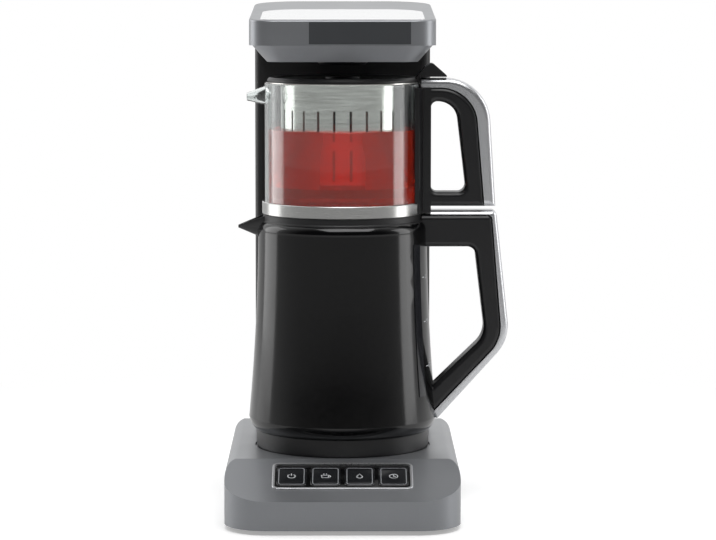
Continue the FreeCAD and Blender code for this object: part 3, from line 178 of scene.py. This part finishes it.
def clear(name, colour, roughness, ior, wave_mm, depth, transmission=1.0):
    """Clear glass or plastic with the faint waves of its making; it lets light through to what is inside."""
    material, tree, place = start_material(name)
    waves = add_node(tree, "ShaderNodeTexNoise", inputs={
        "Vector": place, "Scale": per(wave_mm), "Detail": 1.0})
    bump = add_node(tree, "ShaderNodeBump", inputs={
        "Strength": 0.3, "Distance": depth * MM, "Height": waves.outputs["Fac"]})
    gloss = add_node(tree, "ShaderNodeMapRange", inputs={
        "Value": waves.outputs["Fac"], "To Min": roughness[0], "To Max": roughness[1]})
    shader = add_node(tree, "ShaderNodeBsdfPrincipled", inputs={
        "Base Color": linear(colour), "Roughness": gloss.outputs["Result"], "IOR": ior,
        "Transmission Weight": transmission, "Normal": bump.outputs["Normal"]})
    passing = add_node(tree, "ShaderNodeBsdfTransparent", inputs={"Color": linear(colour)})
    ray = add_node(tree, "ShaderNodeLightPath")
    mixed = add_node(tree, "ShaderNodeMixShader", inputs={
        "Fac": ray.outputs["Is Shadow Ray"], 1: shader.outputs["BSDF"], 2: passing.outputs["BSDF"]})
    add_node(tree, "ShaderNodeOutputMaterial", inputs={"Surface": mixed.outputs["Shader"]})
    return material


# Sprayed ABS in metallic grey: a satin sheen with a fine flake that breaks the highlight.
painted_grey = moulded("sprayed_metallic_grey_abs", "#9b9da0", "#86888c", (0.32, 0.44), 0.5, 0.004,
                       coat=0.1, metallic=0.8)
# Moulded ABS from a spark-eroded tool: an even, slightly grey satin black.
moulded_black = moulded("moulded_black_abs", "#151517", "#0e0e0f", (0.36, 0.5), 0.6, 0.012)
# The grips are moulded with a finer, softer texture, so their ridge catches a broad satin light.
grip_black = moulded("moulded_satin_black_grip", "#18181a", "#101012", (0.3, 0.4), 0.45, 0.008)
# Polished acrylic-coated panel: mirror black with a trace of orange peel.
polished_black = moulded("polished_black_panel", "#101011", "#0a0a0b", (0.06, 0.12), 4.0, 0.004, coat=0.6)
# The bare insert of the head is a printed sheet, a little greyer than the kettle.
insert_grey = moulded("satin_dark_grey_insert", "#3f4144", "#36383b", (0.28, 0.36), 0.5, 0.003, coat=0.2)
# Baked gloss lacquer on steel: deep black under a clear, nearly flat coat.
kettle_lacquer = moulded("baked_black_lacquer_on_steel", "#050506", "#030304", (0.1, 0.16), 5.0, 0.006)
# Silver-sprayed ABS: fine aluminium flake, satin and light.
silver_paint = moulded("silver_sprayed_abs", "#dcdddf", "#c4c5c8", (0.24, 0.34), 0.4, 0.003,
                       coat=0.25, metallic=0.8)
# The head's inset is a clear-coated silver sheet, which mirrors the pale room almost white.
silver_sheet = moulded("clear_coated_silver_sheet", "#f1f2f3", "#e3e4e6", (0.12, 0.2), 0.4, 0.002,
                       coat=0.5, metallic=0.55)
# Stainless steel brushed around the pot: fine level lines that stretch each highlight.
brushed_steel = brushed("brushed_stainless_steel", "#d6d6d4", "#b4b4b2", (0.16, 0.3), 0.35,
                        (0.03, 0.03, 1.0), 0.006)
# Rolled stainless strip for the infuser: brighter, with soft waves from its rolling.
rolled_steel = brushed("rolled_stainless_steel", "#e2e1de", "#bdbbb6", (0.12, 0.26), 1.6,
                       (0.06, 0.06, 1.0), 0.03)
# Zinc-plated screws and spring wire: cool, slightly uneven sheen.
zinc_plate = brushed("zinc_plated_steel", "#bcc0c6", "#8f9399", (0.28, 0.42), 0.3, (1.0, 1.0, 1.0), 0.004)
# Stamped brass: warm, softly worn.
stamped_brass = brushed("stamped_brass", "#d9b36a", "#a87f3c", (0.2, 0.34), 0.4, (1.0, 0.2, 1.0), 0.004)
# Borosilicate glass, blown and pressed: clear, with slow waves in its wall.
blown_glass = clear("blown_borosilicate_glass", "#f7fbfa", (0.0, 0.02), 1.47, 22.0, 0.03)
# Smoked polycarbonate: a dark window that still lets a little light in.
smoked_window = clear("smoked_polycarbonate", "#3a3b3f", (0.04, 0.1), 1.58, 9.0, 0.01, transmission=0.55)
# Black tea: clear and strongly red, as refractive as water.
brewed_tea = clear("brewed_red_tea", "#ff4a2c", (0.0, 0.03), 1.333, 30.0, 0.02, transmission=0.86)
# Moulded silicone rubber: matte, with a powdery bloom.
moulded_rubber = moulded("moulded_black_rubber", "#26262a", "#1a1a1c", (0.62, 0.8), 0.5, 0.02)
# Extruded silicone hose: milky and soft.
silicone_hose = moulded("extruded_milky_silicone", "#dcdcd4", "#c6c7bf", (0.35, 0.5), 1.2, 0.02, coat=0.2)
# Buttons of polished ABS, a tone lighter than the panel around them.
button_black = moulded("polished_black_button", "#232427", "#1a1b1d", (0.12, 0.2), 3.0, 0.004, coat=0.4)
# Glass-fibre board under green solder mask: glossy, with the cloth's weave below.
solder_mask = moulded("green_solder_mask", "#1f6f43", "#14522f", (0.2, 0.32), 0.8, 0.01, coat=0.5)
# Moulded component cases.
component_case = moulded("moulded_component_case", "#2a2b2e", "#1c1d1f", (0.4, 0.55), 0.5, 0.01)
# Moulded acetal: off-white and waxy.
acetal_white = moulded("moulded_white_acetal", "#e6e4dc", "#d4d2c8", (0.34, 0.46), 0.8, 0.01)
# White ink, printed on the buttons and the kettle.
printed_ink = moulded("printed_pale_ink", "#d6d8da", "#c2c4c7", (0.4, 0.5), 0.5, 0.004)
# Grey ink for the thin lines around the buttons.
grey_ink = moulded("printed_grey_ink", "#a2a4a8", "#8f9195", (0.4, 0.5), 0.5, 0.004)

finishes = {
    painted_grey: ("base_cover", "head_upper_housing", "head_lower_housing"),
    moulded_black: ("base_tray", "kettle_socket", "tower_front_cover", "tower_rear_cover",
                    "shower_nozzle", "kettle_collar", "kettle_foot_ring", "kettle_connector",
                    "teapot_lid", "valve_housing"),
    grip_black: ("kettle_handle", "teapot_handle"),
    polished_black: ("button_panel",),
    insert_grey: ("head_front_panel",),
    kettle_lacquer: ("kettle_body",),
    silver_paint: ("kettle_handle_cover", "teapot_handle_cover", "panel_frame"),
    silver_sheet: ("head_top_plate",),
    brushed_steel: ("teapot_band", "heating_plate", "heater_element"),
    rolled_steel: ("infuser_basket",),
    zinc_plate: ("base_screws", "tower_screws", "valve_spring", "pump_motor"),
    stamped_brass: ("socket_contacts", "water_nipple"),
    blown_glass: ("teapot_glass",),
    smoked_window: ("level_window",),
    moulded_rubber: ("rubber_feet", "cord_gland", "nipple_seal", "nozzle_seal"),
    silicone_hose: ("suction_hose", "riser_tube"),
    button_black: ("button_left", "button_middle_left", "button_middle_right", "button_right"),
    solder_mask: ("control_board", "power_board"),
    component_case: ("button_switches", "board_parts"),
    acetal_white: ("pump_body", "pump_impeller", "valve_plunger"),
}
for material, names in finishes.items():
    for name in names:
        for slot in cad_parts[name].material_slots:
            slot.material = material


def show(mesh, name, material, body):
    """Makes a piece of a mesh that is already in place, and lets it ride on its body."""
    mesh.materials.clear()
    mesh.materials.append(material)
    piece = bpy.data.objects.new(name, mesh)
    bpy.context.scene.collection.objects.link(piece)
    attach(piece, body)
    return piece


def turned_mesh(profile, segments):
    """A closed shell turned about the kettle's axis from (radius, height) points, outer side first."""
    points, faces, rings = [], [], []
    for radius, height in profile:
        if radius < 1e-6:
            rings.append([len(points)])
            points.append((axis.x, axis.y, height))
            continue
        rings.append([len(points) + i for i in range(segments)])
        for i in range(segments):
            angle = 2 * math.pi * i / segments
            points.append((axis.x + radius * math.cos(angle), axis.y + radius * math.sin(angle), height))
    for low, high in zip(rings, rings[1:]):
        for i in range(segments):
            j = (i + 1) % segments
            corners = [low[i % len(low)], low[j % len(low)], high[j % len(high)], high[i % len(high)]]
            faces.append(tuple(dict.fromkeys(corners)))
    mesh = bpy.data.meshes.new("turned")
    mesh.from_pydata(points, [], faces)
    mesh.shade_smooth()
    return mesh


def tea_profile():
    """Up the outer wall with a rounded heel, a meniscus against the glass, then down beside the infuser."""
    heel = [(tea_radius - tea_heel + tea_heel * math.sin(t), tea_bottom + tea_heel * (1 - math.cos(t)))
            for t in (math.radians(d) for d in range(0, 91, 15))]
    edge = [(tea_radius - meniscus_height * (1 - math.cos(t)), tea_level + meniscus_height * math.sin(t))
            for t in (math.radians(d) for d in (0, 30, 60, 90))]
    top = [(tea_radius - 2.2 * meniscus_height, tea_level + 0.25 * meniscus_height),
           (tea_radius - 4.0 * meniscus_height, tea_level), (tea_core_radius, tea_level)]
    return [(0, tea_bottom)] + heel + edge + top + [(tea_core_radius, tea_core_bottom), (0, tea_core_bottom)]


tea = show(turned_mesh(tea_profile(), tea_segments), "tea", brewed_tea, "teapot")


def start_tree(name, sizes):
    """A geometry tree with named number inputs and a material input."""
    tree = bpy.data.node_groups.new(name, "GeometryNodeTree")
    for label, value in sizes.items():
        kind = "NodeSocketInt" if isinstance(value, int) else "NodeSocketFloat"
        tree.interface.new_socket(label, in_out="INPUT", socket_type=kind)
    tree.interface.new_socket("Material", in_out="INPUT", socket_type="NodeSocketMaterial")
    tree.interface.new_socket("Geometry", in_out="OUTPUT", socket_type="NodeSocketGeometry")
    return tree, add_node(tree, "NodeGroupInput")


def grown_mesh(tree, sizes, material):
    """The plain mesh that a geometry tree makes with these sizes."""
    holder = bpy.data.objects.new("holder", bpy.data.meshes.new("holder"))
    bpy.context.scene.collection.objects.link(holder)
    modifier = holder.modifiers.new("grow", "NODES")
    modifier.node_group = tree
    for item in tree.interface.items_tree:
        if item.in_out == "INPUT":
            modifier[item.identifier] = material if item.name == "Material" else sizes[item.name]
    evaluated = holder.evaluated_get(bpy.context.evaluated_depsgraph_get())
    mesh = bpy.data.meshes.new_from_object(evaluated)
    bpy.data.objects.remove(holder)
    return mesh


def end_tree(tree, source, geometry):
    real = add_node(tree, "GeometryNodeRealizeInstances", inputs={"Geometry": geometry})
    painted = add_node(tree, "GeometryNodeSetMaterial", inputs={
        "Geometry": real.outputs["Geometry"], "Material": source.outputs["Material"]})
    add_node(tree, "NodeGroupOutput", inputs={"Geometry": painted.outputs["Geometry"]})


outline_sizes = {"Width": outline_size[0], "Length": outline_size[1], "Corner": outline_corner,
                 "Line": outline_width}
outline_tree, source = start_tree("printed_outline", outline_sizes)
box_line = add_node(outline_tree, "GeometryNodeCurvePrimitiveQuadrilateral", inputs={
    "Width": source.outputs["Width"], "Height": source.outputs["Length"]})
round_line = add_node(outline_tree, "GeometryNodeFilletCurve", {"mode": "POLY"}, {
    "Curve": box_line.outputs["Curve"], "Count": 8, "Radius": source.outputs["Corner"]})
pen = add_node(outline_tree, "GeometryNodeCurvePrimitiveCircle", inputs={
    "Resolution": 8, "Radius": source.outputs["Line"]})
drawn = add_node(outline_tree, "GeometryNodeCurveToMesh", inputs={
    "Curve": round_line.outputs["Curve"], "Profile Curve": pen.outputs["Curve"]})
end_tree(outline_tree, source, drawn.outputs["Mesh"])


def arc(radius, start, end, centre=(0.0, 0.0), steps=20):
    angles = [math.radians(start + (end - start) * i / steps) for i in range(steps + 1)]
    return [(centre[0] + radius * math.cos(a), centre[1] + radius * math.sin(a)) for a in angles]


# Each sign is a few lines, in millimetres about the middle of its button.
signs = {
    "button_left": [arc(2.9, 125, 415), [(0.0, 4.2), (0.0, 0.9)]],
    "button_middle_left": [[(-3.2, 1.6), (-2.6, -2.6), (2.0, -2.6), (2.6, 1.6), (-3.2, 1.6)],
                           arc(1.5, -80, 80, (2.4, -0.4)),
                           [(-1.3, 2.7), (-1.3, 4.0)], [(0.7, 2.7), (0.7, 4.0)]],
    "button_middle_right": [arc(2.2, -200, 20, (0.0, -0.9)), [(-2.05, -0.1), (0.0, 3.9), (2.05, -0.1)]],
    "button_right": [arc(3.2, 0, 360), [(0.0, 2.2), (0.0, 0.0), (1.7, -1.1)]],
}


def sign_mesh(lines):
    """Rounded pen strokes along the lines of a sign, flattened into ink."""
    curve = bpy.data.curves.new("sign", "CURVE")
    curve.dimensions = "3D"
    curve.bevel_depth = sign_stroke
    curve.bevel_resolution = 2
    curve.use_fill_caps = True
    for line in lines:
        spline = curve.splines.new("POLY")
        spline.points.add(len(line) - 1)
        for point, (x, y) in zip(spline.points, line):
            point.co = (x * MM, y * MM, 0.0, 1.0)
    holder = bpy.data.objects.new("sign", curve)
    bpy.context.scene.collection.objects.link(holder)
    mesh = bpy.data.meshes.new_from_object(holder.evaluated_get(bpy.context.evaluated_depsgraph_get()))
    bpy.data.objects.remove(holder)
    return mesh


def face_place(name, facing):
    """Where a node's outermost flat face that faces this way is: a matrix with its normal as z."""
    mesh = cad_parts[name].data
    flat = [p for p in mesh.polygons if p.normal.dot(facing) > 0.999]
    reach = max(p.center.dot(facing) for p in flat)
    flat = [p for p in flat if p.center.dot(facing) > reach - 0.1 * MM]
    area = sum(p.area for p in flat)
    middle = sum((p.center * p.area for p in flat), Vector()) / area
    across = Vector((1.0, 0.0, 0.0))
    along = facing.cross(across)
    turn = Matrix((across, along, facing)).transposed().to_4x4()
    return Matrix.Translation(middle) @ turn


panel_slope = next(p.normal.copy() for p in sorted(
    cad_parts["button_panel"].data.polygons, key=lambda p: -p.area) if p.normal.z > 0.8)
flatten = Matrix.Diagonal((1.0, 1.0, sign_flatness, 1.0))
for name, lines in signs.items():
    place = face_place(name, panel_slope)
    outline = grown_mesh(outline_tree, outline_sizes, grey_ink)
    outline.transform(place @ flatten)
    show(outline, name + "_outline", grey_ink, name)
    sign = sign_mesh(lines)
    sign.transform(place @ flatten)
    show(sign, name + "_sign", printed_ink, name)


# Level marks: short lines and plain numbers, laid on the kettle's curved wall beside its window.
mark_sizes = {"Count": len(mark_heights), "Pitch": mark_heights[1] - mark_heights[0],
              "Width": mark_size[0], "Height": mark_size[1], "Depth": mark_size[2]}
mark_tree, source = start_tree("level_marks", mark_sizes)
step = add_node(mark_tree, "ShaderNodeCombineXYZ", inputs={"Y": source.outputs["Pitch"]})
row = add_node(mark_tree, "GeometryNodeMeshLine", inputs={
    "Count": source.outputs["Count"], "Offset": step.outputs["Vector"]})
size = add_node(mark_tree, "ShaderNodeCombineXYZ", inputs={
    "X": source.outputs["Width"], "Y": source.outputs["Height"], "Z": source.outputs["Depth"]})
bar = add_node(mark_tree, "GeometryNodeMeshCube", inputs={
    "Size": size.outputs["Vector"], "Vertices X": mark_bends})
rowed = add_node(mark_tree, "GeometryNodeInstanceOnPoints", inputs={
    "Points": row.outputs["Mesh"], "Instance": bar.outputs["Mesh"]})
end_tree(mark_tree, source, rowed.outputs["Instances"])


def number_mesh(text):
    font = bpy.data.curves.new("number", "FONT")
    font.body = text
    font.size = number_size
    font.align_y = "CENTER"
    font.extrude = mark_size[2] / 2
    holder = bpy.data.objects.new("number", font)
    bpy.context.scene.collection.objects.link(holder)
    mesh = bpy.data.meshes.new_from_object(holder.evaluated_get(bpy.context.evaluated_depsgraph_get()))
    bpy.data.objects.remove(holder)
    return mesh


def lay_on_wall(mesh, wall, azimuth, height):
    """Wraps a flat mesh around the wall: x runs along the wall, y up, z stands off it."""
    for vertex in mesh.vertices:
        angle = azimuth + vertex.co.x / number_bend_radius
        outward = Vector((math.cos(angle), math.sin(angle), 0.0))
        start = axis + outward * outside + Vector((0.0, 0.0, height + vertex.co.y))
        hit = wall.ray_cast(start, -outward)[0]
        vertex.co = hit + outward * (vertex.co.z + mark_size[2] / 2 + mark_lift)


kettle_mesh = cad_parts["kettle_body"].data
wall = BVHTree.FromPolygons([v.co for v in kettle_mesh.vertices], [p.vertices for p in kettle_mesh.polygons])
marks = grown_mesh(mark_tree, mark_sizes, printed_ink)
lay_on_wall(marks, wall, marks_azimuth, mark_heights[0])
show(marks, "level_marks", printed_ink, "kettle")
for index, (height, text) in enumerate(zip(mark_heights, ("0.5", "1.0", "1.5"))):
    number = number_mesh(text)
    number.transform(Matrix.Translation((mark_size[0] / 2 + number_gap, 0.0, 0.0)))
    lay_on_wall(number, wall, marks_azimuth, height)
    show(number, "level_number_%d" % (index + 1), printed_ink, "kettle")


def make_floor():
    """A pale floor that keeps the object's shadow near it and fades to the white room further out."""
    mesh = bpy.data.meshes.new("floor")
    corners = [(x * floor_reach, y * floor_reach, 0) for x, y in ((-1, -1), (1, -1), (1, 1), (-1, 1))]
    mesh.from_pydata(corners, [], [(0, 1, 2, 3)])
    material, tree, place = start_material("pale_floor")
    distance = add_node(tree, "ShaderNodeVectorMath", {"operation": "LENGTH"}, {0: place})
    far = add_node(tree, "ShaderNodeMapRange", {"interpolation_type": "SMOOTHSTEP"}, {
        "Value": distance.outputs["Value"], "From Min": floor_fade[0],
        "From Max": floor_fade[1]})
    matte = add_node(tree, "ShaderNodeBsdfPrincipled", inputs={
        "Base Color": linear("#e9e9e9"), "Roughness": 0.5, "Specular IOR Level": 0.3})
    lift = add_node(tree, "ShaderNodeEmission", inputs={"Color": linear("#ffffff"), "Strength": floor_lift})
    near = add_node(tree, "ShaderNodeAddShader", inputs={
        0: matte.outputs["BSDF"], 1: lift.outputs["Emission"]})
    white = add_node(tree, "ShaderNodeEmission", inputs={"Color": linear("#ffffff"), "Strength": 1.0})
    seen = add_node(tree, "ShaderNodeMixShader", inputs={
        "Fac": far.outputs["Result"], 1: near.outputs["Shader"], 2: white.outputs["Emission"]})
    ray = add_node(tree, "ShaderNodeLightPath")
    surface = add_node(tree, "ShaderNodeMixShader", inputs={
        "Fac": ray.outputs["Is Camera Ray"], 1: matte.outputs["BSDF"], 2: seen.outputs["Shader"]})
    add_node(tree, "ShaderNodeOutputMaterial", inputs={"Surface": surface.outputs["Shader"]})
    mesh.materials.append(material)
    floor = bpy.data.objects.new("floor", mesh)
    bpy.context.scene.collection.objects.link(floor)


def add_lamp(name, place, aim, size, watts):
    lamp = bpy.data.lights.new(name, "AREA")
    lamp.shape = "RECTANGLE"
    lamp.size, lamp.size_y = size
    lamp.energy = watts
    holder = bpy.data.objects.new(name, lamp)
    holder.location = place
    holder.rotation_euler = (Vector(aim) - Vector(place)).to_track_quat("-Z", "Y").to_euler()
    bpy.context.scene.collection.objects.link(holder)


def make_room():
    """A studio whose wall behind the object is white and whose wall behind the camera is dark."""
    world = bpy.data.worlds.new("room")
    world.use_nodes = True
    tree = world.node_tree
    tree.nodes.clear()
    ray = add_node(tree, "ShaderNodeLightPath")
    clear_ray = add_node(tree, "ShaderNodeMath", {"operation": "MAXIMUM"}, {
        0: ray.outputs["Is Camera Ray"], 1: ray.outputs["Is Transmission Ray"]})
    toward = add_node(tree, "ShaderNodeTexCoord")
    parts = add_node(tree, "ShaderNodeSeparateXYZ", inputs={"Vector": toward.outputs["Generated"]})
    level = add_node(tree, "ShaderNodeMapRange", {"interpolation_type": "SMOOTHSTEP"}, {
        "Value": parts.outputs["Y"], "From Min": -room_turn, "From Max": room_turn,
        "To Min": room_front, "To Max": room_back})
    soft = add_node(tree, "ShaderNodeBackground", inputs={
        "Color": linear("#ffffff"), "Strength": level.outputs["Result"]})
    white = add_node(tree, "ShaderNodeBackground", inputs={"Color": linear("#ffffff"), "Strength": 1.0})
    mixed = add_node(tree, "ShaderNodeMixShader", inputs={
        "Fac": clear_ray.outputs[0], 1: soft.outputs["Background"], 2: white.outputs["Background"]})
    add_node(tree, "ShaderNodeOutputWorld", inputs={"Surface": mixed.outputs["Shader"]})
    bpy.context.scene.world = world


make_floor()
make_room()
for name, (place, aim, size, watts) in lamps.items():
    add_lamp(name, place, aim, size, watts)

camera = bpy.data.cameras.new("camera")
camera.lens = camera_lens
camera.sensor_width = 36.0
camera.shift_x = camera_shift
viewer = bpy.data.objects.new("camera", camera)
viewer.location = (axis.x, axis.y - camera_distance, camera_height)
viewer.rotation_euler = (camera_tilt, 0.0, 0.0)
bpy.context.scene.collection.objects.link(viewer)
bpy.context.scene.camera = viewer
bpy.context.scene.view_settings.view_transform = "Standard"
